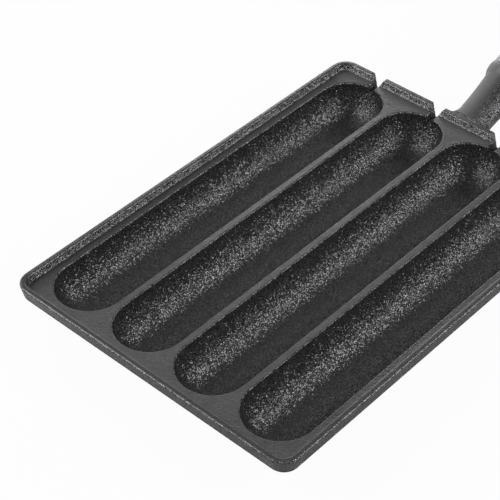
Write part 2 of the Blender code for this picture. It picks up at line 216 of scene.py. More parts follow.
for name, (toward, size, power) in LAMPS.items():
    lamp = bpy.data.objects.new(name, bpy.data.lights.new(name, "AREA"))
    bpy.context.scene.collection.objects.link(lamp)
    lamp.data.shape = "DISK"
    lamp.data.size = size
    lamp.data.energy = power
    aim = Vector(toward).normalized()
    lamp.location = pan_middle + aim * LAMP_DISTANCE
    lamp.rotation_euler = aim.to_track_quat("Z", "Y").to_euler()

world = bpy.data.worlds.new("surround")
bpy.context.scene.world = world
world.use_nodes = True
sky = world.node_tree
glow = sky.nodes["Background"]
glow.inputs["Color"].default_value = (*WHITE, 1.0)
glow.inputs["Strength"].default_value = SURROUND
plain = sky.nodes.new("ShaderNodeBackground")
plain.inputs["Color"].default_value = (*WHITE, 1.0)
path = sky.nodes.new("ShaderNodeLightPath")
choice = sky.nodes.new("ShaderNodeMixShader")
sky.links.new(path.outputs["Is Camera Ray"], choice.inputs[0])
sky.links.new(glow.outputs[0], choice.inputs[1])
sky.links.new(plain.outputs[0], choice.inputs[2])
sky.links.new(choice.outputs[0], sky.nodes["World Output"].inputs["Surface"])


# The pan: one grey-iron casting, cast in sand with its parting line round the rim's outer wall.
# The lands between the troughs and the flats under them are ground, the rest keeps its sandy skin.
TROUGHS = 4
PITCH = 0.037
TROUGH_R = 0.0171
TROUGH_LENGTH = 0.2086
TROUGH_EDGE = 0.0009
EDGE_TURN = math.radians(76.0)
EDGE_SPARE = 0.000003
CUTTER_TOP = 0.006

# Bulges under the troughs and the webs between them; heights are counted from the lands
WALL = 0.0034
GROUND = 0.0009
FILLET_DEPTH = 0.006
FILLET_KNEE = 0.0003
FILLET_END = (0.0209, -0.00498)
BULGE_TOP = -0.003
WEB_R = 0.004
WEB_SPARE = 0.02
WEB_RISE = math.radians(72.0)
WEB_HALF = 0.005
WEB_TOP = -0.008

# Flange, rim lip and parting line
RIM_X = 0.0798
RIM_Y = 0.1119
RIM_CORNER = 0.0085
LEAST_CORNER = 0.0005
RIM_SPARE = 0.00016
SLAB_INSET = 0.014
SIDE_LIP = 0.0028
SIDE_FOOT = 0.0036
END_LIP = 0.0029
END_FOOT = 0.004
LIP_HEIGHT = 0.0034
FLANGE = 0.005
SIDE_DRAFT = math.tan(math.radians(10.0))
END_DRAFT = math.tan(math.radians(12.0))
SEAM_Z = -0.0026
SEAM_HALF = 0.00022
SEAM_DEPTH = 0.00022
RIM_ROUNDS = (0.0024, 0.00008, 0.00008, 0.00008, 0.0009, 0.0013, 0.0017)

# Stick notches
NOTCH_TOP = 0.0041
NOTCH_FLOOR = 0.0009
NOTCH_DEPTH = 0.0037
NOTCH_ROUNDS = (0.001, 0.0007, 0.0007, 0.001)
NOTCH_SPARE = 0.00003
NOTCH_HALF = 0.007
NOTCH_IN = 0.01
NOTCH_PAST = 0.002

# Neck and collar; stations are counted along the handle's axis from the rim's face
RISE = math.radians(13.7)
AXIS_UP = 0.0016
NECK_ROOT = 0.0089
NECK_END = 0.0105
NECK_LENGTH = 0.0266
NECK_SINK = 0.0003
NECK_SQUARENESS = 3.0
ROOT_ABOVE = -0.0018
ROOT_BELOW = -0.006
FLARE = 0.004
FLARE_LENGTH = 0.0055
COLLAR_R = 0.0125
COLLAR_LENGTH = 0.009
COLLAR_CREST = 0.62
COLLAR_DROP = 0.0002
COLLAR_EDGE = 0.0005
CROWN_START = 0.001
CROWN_SOFT = 0.0006
COLLAR_END = NECK_LENGTH + COLLAR_LENGTH
ROD_R = 0.003
GAP = 0.0003
ROD_START = 0.0139
CUT_PAST = 0.002
FACE_Y = PAN_Y + RIM_Y
AXIS_Z = LAND_Z + AXIS_UP

CREASE = math.radians(14.0)
MERGE = 1e-7


def unit(line):
    """The line's direction, one long."""
    return line / np.linalg.norm(line)


def rounded(corners, radii, steps=8):
    """A line through the corners in which each inner corner is an arc of its radius.

    The arc touches both sides, and its points are the even turns between the first and last spoke.
    """
    corners = np.array(corners, float)
    parts = [corners[:1]]
    t = np.linspace(0.0, 1.0, steps + 1)[:, None]
    for before, corner, after, radius in zip(corners, corners[1:], corners[2:], radii):
        first, second = unit(before - corner), unit(after - corner)
        inside = math.acos(np.clip(first @ second, -1.0, 1.0))
        turn = math.pi - inside
        if radius == 0.0 or turn < 0.01:
            parts.append(corner[None])
            continue
        reach = radius / math.tan(inside / 2)
        centre = corner + unit(first + second) * radius / math.sin(inside / 2)
        start, end = corner + first * reach - centre, corner + second * reach - centre
        spoke = start * np.sin((1 - t) * turn) + end * np.sin(t * turn)
        parts.append(centre + spoke / math.sin(turn))
    parts.append(corners[-1:])
    return np.concatenate(parts)


def solid(name, grid, caps=True):
    """Joins a (rows, columns, 3) grid of points that is closed along its columns.

    A row that shrinks to a point or a line closes that end, and any other end gets a flat face,
    unless the rows come round to where they began and caps is False.
    """
    rows, columns = grid.shape[:2]
    index = np.arange(rows * columns).reshape(rows, columns)
    wrap = np.append(index, index[:, :1], axis=1)
    quads = np.stack([wrap[:-1, :-1], wrap[:-1, 1:], wrap[1:, 1:], wrap[1:, :-1]], -1)
    quads = quads.reshape(-1, 4)
    ends = [index[0].tolist(), index[-1].tolist()] if caps else []
    mesh = bpy.data.meshes.new(name)
    mesh.from_pydata(grid.reshape(-1, 3).tolist(), [], quads.tolist() + ends)
    bm = bmesh.new()
    bm.from_mesh(mesh)
    bmesh.ops.remove_doubles(bm, verts=bm.verts, dist=MERGE)
    bmesh.ops.recalc_face_normals(bm, faces=bm.faces)
    bm.to_mesh(mesh)
    bm.free()
    item = bpy.data.objects.new(name, mesh)
    bpy.context.scene.collection.objects.link(item)
    return item


def apply_modifiers(item):
    """Gives the object the mesh that its modifiers make, without the modifiers."""
    graph = bpy.context.evaluated_depsgraph_get()
    mesh = bpy.data.meshes.new_from_object(item.evaluated_get(graph))
    old = item.data
    item.modifiers.clear()
    item.data = mesh
    bpy.data.meshes.remove(old)


def combine(item, steps):
    """Adds or cuts the other solids in order, then takes them away."""
    for operation, other in steps:
        cut = item.modifiers.new(other.name, "BOOLEAN")
        cut.operation = operation
        cut.object = other
        cut.solver = "EXACT"
    apply_modifiers(item)
    for operation, other in steps:
        mesh = other.data
        bpy.data.objects.remove(other)
        bpy.data.meshes.remove(mesh)


def finish_piece(item, name, material, body, replaced, crease=CREASE):
    """Smooth faces that break at creases, one finish, and the calls that tie it to its body."""
    bm = bmesh.new()
    bm.from_mesh(item.data)
    bmesh.ops.remove_doubles(bm, verts=bm.verts, dist=MERGE)
    bmesh.ops.dissolve_degenerate(bm, edges=bm.edges, dist=MERGE)
    bm.to_mesh(item.data)
    bm.free()
    item.name = name
    item.data.name = name
    item.data.materials.clear()
    item.data.materials.append(material)
    item.data.shade_smooth()
    item.data.set_sharp_from_angle(angle=crease)
    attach(item, body)
    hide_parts(replaced)


def rim_slab():
    """The rim's section carried round a rounded rectangle.

    A point of the section is an inset from the outer top edge and a height over the lands; at the
    corners the insets of the long and short sides blend as the two half axes of an ellipse.
    """
    def section(lip, foot, draft):
        def wall(z):
            return (LIP_HEIGHT - z) * draft - RIM_SPARE

        low, high = SEAM_Z - SEAM_HALF, SEAM_Z + SEAM_HALF
        corners = [
            (SLAB_INSET, -FLANGE), (wall(-FLANGE), -FLANGE), (wall(low), low),
            (wall(SEAM_Z) + SEAM_DEPTH, SEAM_Z), (wall(high), high), (-RIM_SPARE, LIP_HEIGHT),
            (lip, LIP_HEIGHT), (foot, 0.0), (SLAB_INSET, 0.0),
        ]
        return rounded(corners, RIM_ROUNDS)

    side = section(SIDE_LIP, SIDE_FOOT, SIDE_DRAFT)
    end = section(END_LIP, END_FOOT, END_DRAFT)
    steps = 24
    turn = np.linspace(0.0, math.pi / 2, steps + 1)
    angle = np.concatenate([turn + quarter * math.pi / 2 for quarter in range(4)])
    sign_x = np.repeat([1.0, -1.0, -1.0, 1.0], steps + 1)
    sign_y = np.repeat([1.0, 1.0, -1.0, -1.0], steps + 1)
    inset_x, inset_y = side[:, :1], end[:, :1]
    round_x = np.maximum(RIM_CORNER - inset_x, LEAST_CORNER)
    round_y = np.maximum(RIM_CORNER - inset_y, LEAST_CORNER)
    x = sign_x * (RIM_X - inset_x - round_x) + round_x * np.cos(angle)
    y = sign_y * (RIM_Y - inset_y - round_y) + round_y * np.sin(angle)
    z = np.broadcast_to(side[:, 1:], x.shape)
    return solid("rim_slab", np.stack([x, y + PAN_Y, z + LAND_Z], -1))


def round_slot(name, profile, x, steps=40):
    """A (radius, height) profile carried round a slot: half turns at the ends, straight between."""
    reach = TROUGH_LENGTH / 2 - TROUGH_R
    turn = np.linspace(0.0, math.pi, steps + 1)
    angle = np.concatenate([turn, turn + math.pi])
    middle = np.repeat([reach, -reach], steps + 1)
    radius, height = profile[:, :1], profile[:, 1:]
    px = x + radius * np.cos(angle)
    py = PAN_Y + middle + radius * np.sin(angle)
    pz = LAND_Z + np.broadcast_to(height, px.shape)
    return solid(name, np.stack([px, py, pz], -1))


def trough_hollow(index, x):
    """A quarter circle from the bottom up to the land, then a small round edge and straight up."""
    down = np.linspace(0.0, math.pi / 2 - TROUGH_EDGE / TROUGH_R, 33)
    bowl = np.stack([(TROUGH_R - TROUGH_EDGE / 2) * np.sin(down), -TROUGH_R * np.cos(down)], -1)
    over = np.linspace(0.0, EDGE_TURN, 9)[1:]
    lift = TROUGH_EDGE * math.sin(over[-1]) - EDGE_SPARE
    out = bowl[-1, 0] + TROUGH_EDGE * (1 - np.cos(over))
    edge = np.stack([out, TROUGH_EDGE * np.sin(over) - lift], -1)
    top = [[edge[-1, 0], CUTTER_TOP]]
    return round_slot(f"trough_hollow_{index}", np.concatenate([bowl, edge, top]), x)


def trough_wall(index, x):
    """The bulge under a trough: a ground flat, the wall's arc, and a small fillet to the flange."""
    outer = TROUGH_R + WALL
    arc = np.linspace(math.acos(1 - GROUND / outer), math.acos(FILLET_DEPTH / outer), 29)
    wall = np.stack([outer * np.sin(arc), -outer * np.cos(arc)], -1)
    t = np.linspace(0.0, 1.0, 6)[1:, None]
    last, out = wall[-1], np.array(FILLET_END)
    knee = np.array([wall[-1, 0] + FILLET_KNEE, -FLANGE])
    fillet = (1 - t) ** 2 * last + 2 * t * (1 - t) * knee + t * t * out
    foot = [[0.0, GROUND - outer]]
    top = [[out[0], BULGE_TOP]]
    return round_slot(f"trough_wall_{index}", np.concatenate([foot, wall, fillet, top]), x)


def valley_web(index, x):
    """The fillet between two bulges: an arc that touches both, turned up at its two ends."""
    outer = TROUGH_R + WALL
    half = PITCH / 2
    centre = -math.sqrt((outer + WEB_R) ** 2 - half * half)
    swing = math.asin(half / (outer + WEB_R)) + WEB_SPARE
    sweep = np.linspace(-swing, swing, 13)
    arc = np.stack([WEB_R * np.sin(sweep), centre + WEB_R * np.cos(sweep)], -1)
    section = np.concatenate([arc, [[WEB_HALF, WEB_TOP], [-WEB_HALF, WEB_TOP]]])
    reach = TROUGH_LENGTH / 2 - TROUGH_R
    lift = np.linspace(0.0, WEB_RISE, 13)
    turn = np.concatenate([-lift[::-1], lift])[:, None]
    middle = np.repeat([-reach, reach], len(lift))[:, None]
    across, depth = section[:, 0], section[:, 1]
    px = np.broadcast_to(x + across, (len(turn), len(section)))
    py = PAN_Y + middle - depth * np.sin(turn)
    pz = LAND_Z + depth * np.cos(turn)
    return solid(f"valley_web_{index}", np.stack([px, py, pz], -1))


def stick_notch(index, x):
    """A tapered slot with a round floor, whose upper edges are rounded over the lip."""
    over = LIP_HEIGHT + NOTCH_SPARE
    corners = [
        (NOTCH_HALF, over), (NOTCH_TOP, LIP_HEIGHT), (NOTCH_FLOOR, -NOTCH_DEPTH),
        (-NOTCH_FLOOR, -NOTCH_DEPTH), (-NOTCH_TOP, LIP_HEIGHT), (-NOTCH_HALF, over),
    ]
    outline = rounded(corners, NOTCH_ROUNDS)
    outline = np.concatenate([outline, [[-NOTCH_HALF, CUTTER_TOP], [NOTCH_HALF, CUTTER_TOP]]])
    ends = np.array([TROUGH_LENGTH / 2 - NOTCH_IN, RIM_Y + NOTCH_PAST])[:, None]
    px = np.broadcast_to(x + outline[:, 0], (2, len(outline)))
    py = PAN_Y + np.broadcast_to(ends, px.shape)
    pz = LAND_Z + np.broadcast_to(outline[:, 1], px.shape)
    return solid(f"stick_notch_{index}", np.stack([px, py, pz], -1))


def neck():
    """Sections from the flat rim to the round collar: stations along the axis, turns about it.

    The half width is a taper, with a quarter-ellipse flare at the root and an arc crown on the
    collar, and the upper and lower half heights grow evenly from the rim's to the circle's.
    """
    above, below = LIP_HEIGHT - AXIS_UP - NECK_SINK, FLANGE + AXIS_UP - NECK_SINK
    crest = NECK_LENGTH + COLLAR_LENGTH * COLLAR_CREST
    run, swell = crest - NECK_LENGTH, COLLAR_R - NECK_END
    crown = (run * run + swell * swell) / (2 * swell)

    def radius(u):
        taper = NECK_ROOT + (NECK_END - NECK_ROOT) * u / NECK_LENGTH
        off_crest = np.minimum(np.abs(u - crest), run)
        dome = COLLAR_R - crown + np.sqrt(crown * crown - off_crest ** 2)
        return np.where(u <= NECK_LENGTH, taper, dome)

    flare_turn = np.linspace(0.0, math.pi / 2, 13)
    u = np.concatenate([
        FLARE_LENGTH * (1 - np.cos(flare_turn)),
        np.linspace(FLARE_LENGTH, NECK_LENGTH - CROWN_START, 16)[1:],
        np.linspace(NECK_LENGTH - CROWN_START, COLLAR_END - CROWN_SOFT, 32)[1:],
    ])
    spread = np.linspace(-CROWN_SOFT, CROWN_SOFT, 7)
    half_width = radius(u[:, None] + spread).mean(1)
    flared = len(flare_turn)
    half_width[:flared] = radius(u[:flared]) + FLARE * (1 - np.sin(flare_turn))
    brow = (COLLAR_END, half_width[-1] - COLLAR_DROP)
    end = rounded([(u[-1], half_width[-1]), brow, (COLLAR_END, 0.0)], (COLLAR_EDGE,))
    u = np.concatenate([u, end[1:, 0]])[:, None]
    half_width = np.concatenate([half_width, end[1:, 1]])[:, None]
    t = np.clip(u / NECK_LENGTH, 0.0, 1.0)
    up = above + (half_width - above) * t
    down = below + (half_width - below) * t
    power = 2 / (2.0 + NECK_SQUARENESS * (1 - t) ** 4)
    angle = np.linspace(0.0, 2 * math.pi, 73)[:-1]
    c, s = np.cos(angle), np.sin(angle)
    x = half_width * np.sign(c) * np.abs(c) ** power
    lift = np.where(s > 0, up, down) * np.sign(s) * np.abs(s) ** power
    tilt = RISE * t
    y = u * math.cos(RISE) - lift * np.sin(tilt)
    z = AXIS_UP + u * math.sin(RISE) + lift * np.cos(tilt)
    inner = np.where(z[:1] > 0, ROOT_ABOVE, ROOT_BELOW)
    grid = np.stack([x, y, z], -1)
    root = np.stack([x[:1], inner, z[:1]], -1)
    grid = np.concatenate([root, grid])
    grid += (0.0, FACE_Y, LAND_Z)
    return solid("neck", grid)


def turned(name, profile, steps=64):
    """A closed or pole-to-pole (radius, station) profile turned about the handle's rising axis."""
    profile = np.array(profile, float)
    angle = np.linspace(0.0, 2 * math.pi, steps + 1)[:-1]
    radius, along = profile[:, :1], profile[:, 1:]
    return solid(name, about_axis(radius, angle, along), caps=False)


def about_axis(radius, angle, along):
    """Points at a radius and a turn about the handle's axis."""
    return on_axis(radius * np.cos(angle), radius * np.sin(angle), along)


def on_axis(across, up, along):
    """Puts handle coordinates into the frame: along rises by the handle's slope from the rim."""
    y = FACE_Y + along * math.cos(RISE) - up * math.sin(RISE)
    z = AXIS_Z + along * math.sin(RISE) + up * math.cos(RISE)
    return np.stack(np.broadcast_arrays(across, y, z), -1)


centres = [PITCH * (index - (TROUGHS - 1) / 2) for index in range(TROUGHS)]
pan = rim_slab()
mouth, bottom, bore_r = COLLAR_END + CUT_PAST, ROD_START - GAP, ROD_R + GAP
bore = turned("rod_bore", [(0.0, mouth), (bore_r, mouth), (bore_r, bottom), (0.0, bottom)], 32)
steps = [("UNION", trough_wall(index + 1, x)) for index, x in enumerate(centres)]
steps += [("UNION", valley_web(index + 1, x + PITCH / 2)) for index, x in enumerate(centres[:-1])]
steps += [("UNION", neck())]
steps += [("DIFFERENCE", trough_hollow(index + 1, x)) for index, x in enumerate(centres)]
steps += [("DIFFERENCE", stick_notch(index + 1, x)) for index, x in enumerate(centres)]
steps += [("DIFFERENCE", bore)]
combine(pan, steps)

# Where the parts of the casting's skin start and end, each as the two values for Value.above.
# Counted inwards from the rim's outer edge:
RIM_BAND = (-0.0003, 0.0)
OUTER_WALL_BAND = (0.0009, 0.0013)
TRAY_BAND = (0.0016, 0.0022)
# Counted up from the lands:
EDGE_LOW_BAND = (-0.0009, -0.0004)
EDGE_HIGH_BAND = (-0.0002, -0.0001)
LAND_BAND = (0.00008, 0.0002)
INNER_WALL_BAND = (0.0002, 0.0006)
ROUNDING_BAND = (LIP_HEIGHT - 0.0011, LIP_HEIGHT - 0.0007)
LIP_BAND = (LIP_HEIGHT - 0.00006, LIP_HEIGHT - 0.00002)
# Heights over the ground:
FOOT_BAND = (0.00006, 0.00014)
# Places along X:
# Across the neck, where its painted sheen fades out:
SHEEN_BAND = (-0.009, 0.001)
SMOOTHED_BAND = (0.0, 0.003)
FLANK_NEAR_BAND = (0.003, 0.0065)
FLANK_FAR_BAND = (0.0078, 0.0105)
RIGHT_WALL_BAND = (0.065, 0.072)
# Places along Y, the first one counted from the rim's face:
NECK_BAND = (0.0002, 0.0015)
NEAR_WALL_BAND = (PAN_Y - 0.106, PAN_Y - 0.102)
NEAR_LAND_BAND = (PAN_Y - 0.12, PAN_Y)
FAR_LAND_BAND = (PAN_Y + 0.097, PAN_Y + 0.103)

# How far each finish flattens the sand, and how far the pale speckle of painted glints and worn
# edges covers each part
DRESSED_FLAT = 0.8
NECK_FLAT = 0.75
ROUNDING_FLAT = 0.45
OUTER_WALL_GLINT = 0.3
ROUNDING_GLINT_CUT = 0.8
FLANK_GLINT = 0.85
EDGE_HIGHLIGHT_AND_WEAR = 0.9

# The skin's grains to the metre, the noise scales, and the middle of the grinding strokes
FACETS = 3500.0
FACET_TILT = 0.5
SHADE_BAND = (0.25, 1.0)
PALE_SPECKLE_BAND = (0.5, 0.85)
STREAK_BAND = (0.3, 0.7)
STREAK_MARKS = 0.6
STREAK_SAND = 0.4
CLOUD_LIFT = 0.7
WAVE_SCALE = 75.0
CLOUD_SCALE = 28.0
WHEEL_X = 0.4
WHEEL_Y = -0.62
MARK_SCALE = 1150.0
MARK_RUN = 400.0
WAVE_HEIGHT = 1.7
MARK_HEIGHT = 1.3
BUMP_DEPTH = 0.0002

# The skin's roughness, what the other finishes add to it, and the colours
SKIN_ROUGHNESS = 0.21
LAND_ROUGHER = 0.18
NEAR_LAND_ROUGHER = 0.12
WORN_ROUGHER = 0.3
AWAY_ROUGHER = 0.3
CLOUD_ROUGHER = 0.1
IRON_DARK = (0.009, 0.009, 0.0095)
IRON_LIGHT = (0.036, 0.036, 0.037)
LAND_DARK = (0.002, 0.002, 0.0022)
LAND_LIGHT = (0.028, 0.028, 0.029)
# A lighter colour painted on the far land strip as light
LAND_FAR_PAINTED_LIGHT = (0.037, 0.037, 0.038)
# The pale of the painted glints and the worn trough edges
PALE_SPECKLE = (0.28, 0.28, 0.285)
# The pale grey of the neck's painted sheen
NECK_PAINTED_SHEEN = (0.125, 0.125, 0.127)

iron = Finish("cast_iron_skin")
to_side = (abs(iron.x) - (RIM_X - RIM_CORNER)).math("MAXIMUM", 0.0)
to_end = (abs(iron.y - PAN_Y) - (RIM_Y - RIM_CORNER)).math("MAXIMUM", 0.0)
from_edge = RIM_CORNER - (to_side ** 2.0 + to_end ** 2.0).math("SQRT")
over_land = iron.z - LAND_Z
on_rim = from_edge.above(*RIM_BAND)
tray = from_edge.above(*TRAY_BAND)
on_land = (1 - abs(over_land).above(*LAND_BAND)) * tray
on_lip = over_land.above(*LIP_BAND) * on_rim
on_foot = 1 - iron.z.above(*FOOT_BAND)
dressed = on_land.math("MAXIMUM", on_foot).math("MAXIMUM", on_lip)
on_neck = (iron.y - FACE_Y).above(*NECK_BAND)
smoothed = on_neck * (1 - iron.x.above(*SMOOTHED_BAND)) * NECK_FLAT
rounding = over_land.above(*ROUNDING_BAND) * on_rim
skin = (1 - dressed * DRESSED_FLAT) * (1 - smoothed) * (1 - rounding * ROUNDING_FLAT)

# Painted glints: pale speckle on the rim's outer wall and on the inner walls that face the lamps.
outer_wall = (1 - from_edge.above(*OUTER_WALL_BAND)) * on_rim
inner_wall = over_land.above(*INNER_WALL_BAND) * (1 - outer_wall) * on_rim
# The right and near lips' inner walls face away from the lamps: they get no painted glints, and are
# made rougher.
near_wall = 1 - iron.y.above(*NEAR_WALL_BAND)
turned_away = iron.x.above(*RIGHT_WALL_BAND).math("MAXIMUM", near_wall)
inner_wall_glints = inner_wall * (1 - turned_away) * (1 - rounding * ROUNDING_GLINT_CUT)
wall_glints = inner_wall_glints + outer_wall * (rounding * OUTER_WALL_GLINT + OUTER_WALL_GLINT)
# Painted glints: a strip of pale speckle along the neck's right flank, where the key lamp catches
# the sand.
flank_glints = on_neck * iron.x.above(*FLANK_NEAR_BAND) * (1 - iron.x.above(*FLANK_FAR_BAND))
# A pale line on the troughs' rounded edges: partly worn bare edges, partly a painted highlight.
trough_edge = over_land.above(*EDGE_LOW_BAND) * (1 - over_land.above(*EDGE_HIGH_BAND)) * tray
painted_glints_and_worn_edges = wall_glints.math("MAXIMUM", flank_glints * FLANK_GLINT).math("MAXIMUM", trough_edge * EDGE_HIGHLIGHT_AND_WEAR)

# Each grain of sand is a facet that leans its own way, the larger ones further.
sand = iron.node("ShaderNodeTexVoronoi", {}, {"Vector": iron.place, "Scale": FACETS}, "Color")
sand_size = iron.node("ShaderNodeSeparateXYZ", {}, {"Vector": sand}, "Z")
lean = iron.vector("SUBTRACT", sand, (0.5, 0.5, 0.5))
tilt = iron.vector("SCALE", lean, skin * (sand_size ** 2.0 * FACET_TILT + FACET_TILT))
face = iron.node("ShaderNodeNewGeometry", output="Normal")
facet = iron.vector("NORMALIZE", iron.vector("ADD", face, tilt))
waves = iron.noise(WAVE_SCALE, 2.0, 0.5)
cloud = iron.noise(CLOUD_SCALE, 3.0, 0.5)
wheel = ((iron.x - WHEEL_X) ** 2.0 + (iron.y - WHEEL_Y) ** 2.0).math("SQRT")
stroke = iron.point(wheel * MARK_SCALE, iron.x * MARK_RUN, iron.y * MARK_RUN)
marks = iron.noise(1.0, 3.0, 0.65, stroke)

shade = iron.blend(sand_size.above(*SHADE_BAND), IRON_DARK, IRON_LIGHT)
# Painted sheen: the neck is lightened on its left side, fading out towards its middle, in place of
# the lamps' reflection there.
wear_and_sheen = smoothed * (1 - iron.x.above(*SHEEN_BAND)) * (cloud + CLOUD_LIFT)
# The pale speckle of the painted glints and worn edges, and the skin's colour with the painted
# sheen and glints in it
pale_speckle = iron.blend(sand_size.above(*PALE_SPECKLE_BAND), IRON_DARK, PALE_SPECKLE)
skin_colour = iron.blend(painted_glints_and_worn_edges, iron.blend(wear_and_sheen, shade, NECK_PAINTED_SHEEN), pale_speckle)
streaks = (marks * STREAK_MARKS + sand_size * STREAK_SAND).above(*STREAK_BAND)
at_near = 1 - iron.y.above(*NEAR_LAND_BAND)
# Painted light: the far land strip is made lighter, against the shadow that the far lip casts on it
# from the key lamp.
far_land_painted_light = on_land * iron.y.above(*FAR_LAND_BAND)
ground = iron.blend(far_land_painted_light, iron.blend(streaks, LAND_DARK, LAND_LIGHT), LAND_FAR_PAINTED_LIGHT)
rougher = (dressed * (at_near * NEAR_LAND_ROUGHER + LAND_ROUGHER) + smoothed * WORN_ROUGHER
           + inner_wall * turned_away * AWAY_ROUGHER + (cloud - 0.5) * CLOUD_ROUGHER)
iron_finish = iron.surface(
    base_color=iron.blend(dressed, skin_colour, ground),
    roughness=rougher + SKIN_ROUGHNESS,
    normal=iron.bump(waves * WAVE_HEIGHT + marks * dressed * MARK_HEIGHT, BUMP_DEPTH, facet),
    metallic=0.0,
)
finish_piece(pan, "casting", iron_finish, "pan_and_handle", "pan")


# The front ferrule: a cup pressed from plated steel sheet, with a hole for the rod and a groove
# rolled in near its open edge that grips the wood. Its closed end seats against the collar.
SHEET = 0.0008
HOLE = ROD_R + GAP
FERRULE_R = 0.0123
FERRULE_LENGTH = 0.015
FERRULE_START = COLLAR_END + GAP
FERRULE_GROOVE = 0.0108
GROOVE_HALF = 0.0011
GROOVE_DEPTH = 0.0003
BEND_R = 1.5 * SHEET
BEND_END = 0.003
CUP_CREASE = math.radians(40)
LINE_SCALE = 9000.0
RUB_WIDE = 260.0
RUB_ALONG = 1500.0
PATCH_SCALE = 170.0
DENT_SCALE = 420.0
DENT_HEIGHT = 0.25
LATHE_DEPTH = 0.00005
RUB_ROUGHER = 0.16
DULL_ROUGHER = 0.1
DULL_BELOW = 0.05
DULL_ABOVE = 0.2
PLATE_BRIGHT = (0.64, 0.64, 0.63)
PLATE_DULL = (0.50, 0.495, 0.48)


def rolled_groove(station, at):
    """How far a rolled groove dips: a raised cosine over its width."""
    return GROOVE_DEPTH / 2 * (1 + np.cos(math.pi * np.clip((station - at) / GROOVE_HALF, -1, 1)))


def pressed_cup(name, radius, closed, toward, length, groove):
    """A sheet's middle line turned about the handle's axis, with half the sheet to each side.

    The line runs out from the hole, bends through a quarter circle and follows the side, less the
    groove. Each wall is the line moved along its normal, and half circles close the two edges.
    """
    half = SHEET / 2
    reach = radius - half
    bend = rounded([(HOLE + half, half), (reach, half), (reach, BEND_END)], (BEND_R,), 10)
    flat = np.linspace(BEND_END, length - half, 60)[1:]
    side = np.stack([reach - rolled_groove(flat, groove), flat], -1)
    line = np.concatenate([bend, side])
    along = np.gradient(line, axis=0)
    along /= np.linalg.norm(along, axis=1)[:, None]
    out = np.stack([along[:, 1], -along[:, 0]], -1)
    turn = np.linspace(0.0, math.pi, 9)[1:-1, None]
    lip = line[-1] + half * (np.cos(turn) * out[-1] + np.sin(turn) * along[-1])
    brim = line[0] - half * (np.cos(turn) * out[0] + np.sin(turn) * along[0])
    outer, inner = line + half * out, line - half * out
    loop = np.concatenate([outer, lip, inner[::-1], brim, outer[:1]])
    loop[:, 1] = closed + toward * loop[:, 1]
    return turned(name, loop, 96)


def handle_coordinates(finish):
    """The distances out from and along the handle's axis, and the height over it."""
    y, z = finish.y - FACE_Y, finish.z - AXIS_Z
    along = y * math.cos(RISE) + z * math.sin(RISE)
    up = z * math.cos(RISE) - y * math.sin(RISE)
    out = (finish.x ** 2.0 + up ** 2.0).math("SQRT")
    return out, along, up


def steel(name, bright, dull, polish, line_depth, cloudy=0.5):
    """Steel from a lathe: fine lines round the axis, rub marks, and patches without their shine.

    Polish is its least roughness, and cloudy is the noise at which the dull patches start.
    """
    finish = Finish(name)
    out, along, up = handle_coordinates(finish)
    turning = finish.point(along * LINE_SCALE, out * LINE_SCALE, 0.0)
    rubbing = finish.point(finish.x * RUB_WIDE, along * RUB_ALONG, up * RUB_WIDE)
    lines = finish.noise(1.0, 2.0, 0.6, turning)
    rubs = finish.noise(1.0, 3.0, 0.6, rubbing)
    patches = finish.noise(PATCH_SCALE, 4.0, 0.6)
    wear_and_sheen = patches.above(cloudy - DULL_BELOW, cloudy + DULL_ABOVE)
    dents = finish.noise(DENT_SCALE, 2.0, 0.5)
    finish.surface(
        base_color=finish.blend(wear_and_sheen, bright, dull),
        roughness=(rubs - 0.5) * RUB_ROUGHER + wear_and_sheen * DULL_ROUGHER + polish,
        normal=finish.bump(lines * line_depth + dents * DENT_HEIGHT, LATHE_DEPTH),
        metallic=1.0,
    )
    return finish.material


plated = steel("plated_steel", PLATE_BRIGHT, PLATE_DULL, polish=0.2, line_depth=0.12)
ferrule = pressed_cup(
    "front_ferrule", FERRULE_R, FERRULE_START, 1.0, FERRULE_LENGTH, FERRULE_GROOVE)
finish_piece(ferrule, "ferrule_cup", plated, "pan_and_handle", "front_ferrule",
             CUP_CREASE)


# The grip: one length of hardwood turned to a palm swell, bored for the rod, with a spigot at each
# end for the two cups and two fine grooves cut near each end. It is oiled, not varnished.
GRIP_START = FERRULE_START + SHEET + GAP
GRIP_LENGTH = 0.129
GRIP_END = GRIP_START + GRIP_LENGTH
GRIP_FRONT_R = 0.0125
GRIP_SWELL_R = 0.01558
GRIP_SWELL_AT = 0.6
GRIP_TAIL_R = 0.0128
CAP_R = 0.01218
CAP_LENGTH = 0.0095
CAP_END = GRIP_END + GAP + SHEET
CAP_GROOVE = 0.0066
SHOULDER_ROUND = 0.0009
CUT_HALF = 0.00045
CUT_DEPTH = 0.0004
CUTS = (0.0062, 0.0088)
GRIP_CREASE = math.radians(28)
PITH = (-0.034, -0.027)
RING_WIDTH = 0.0017
RING_WANDER = 0.006
LATE_BAND = (0.25, 0.97)
PORE_BAND = (0.60, 0.70)
HANDLED_BAND = (0.42, 0.62)
FRONT_STAIN = (FERRULE_START + 0.016, 0.075)
TAIL_STAIN = (GRIP_END - 0.03, GRIP_END - 0.006)
LATE_PORES = 0.6
LATE_DARKER = 0.55
FIBRE_DARKER = 0.9
TONE_DARKER = 0.8
END_DARKER = 0.22
PORE_DARKER = 0.75
WOOD_ROUGHNESS = 0.44
PORE_ROUGHER = 0.2
FIBRE_ROUGHER = 0.2
HANDLED_SMOOTHER = 0.07
FIBRE_HEIGHT = 0.5
PORE_SUNK = 0.7
LATE_HEIGHT = 0.15
WOOD_DEPTH = 0.00009
WOOD_LIGHT = (0.40, 0.225, 0.115)
WOOD_DARK = (0.245, 0.118, 0.052)
WOOD_PORE = (0.085, 0.040, 0.018)


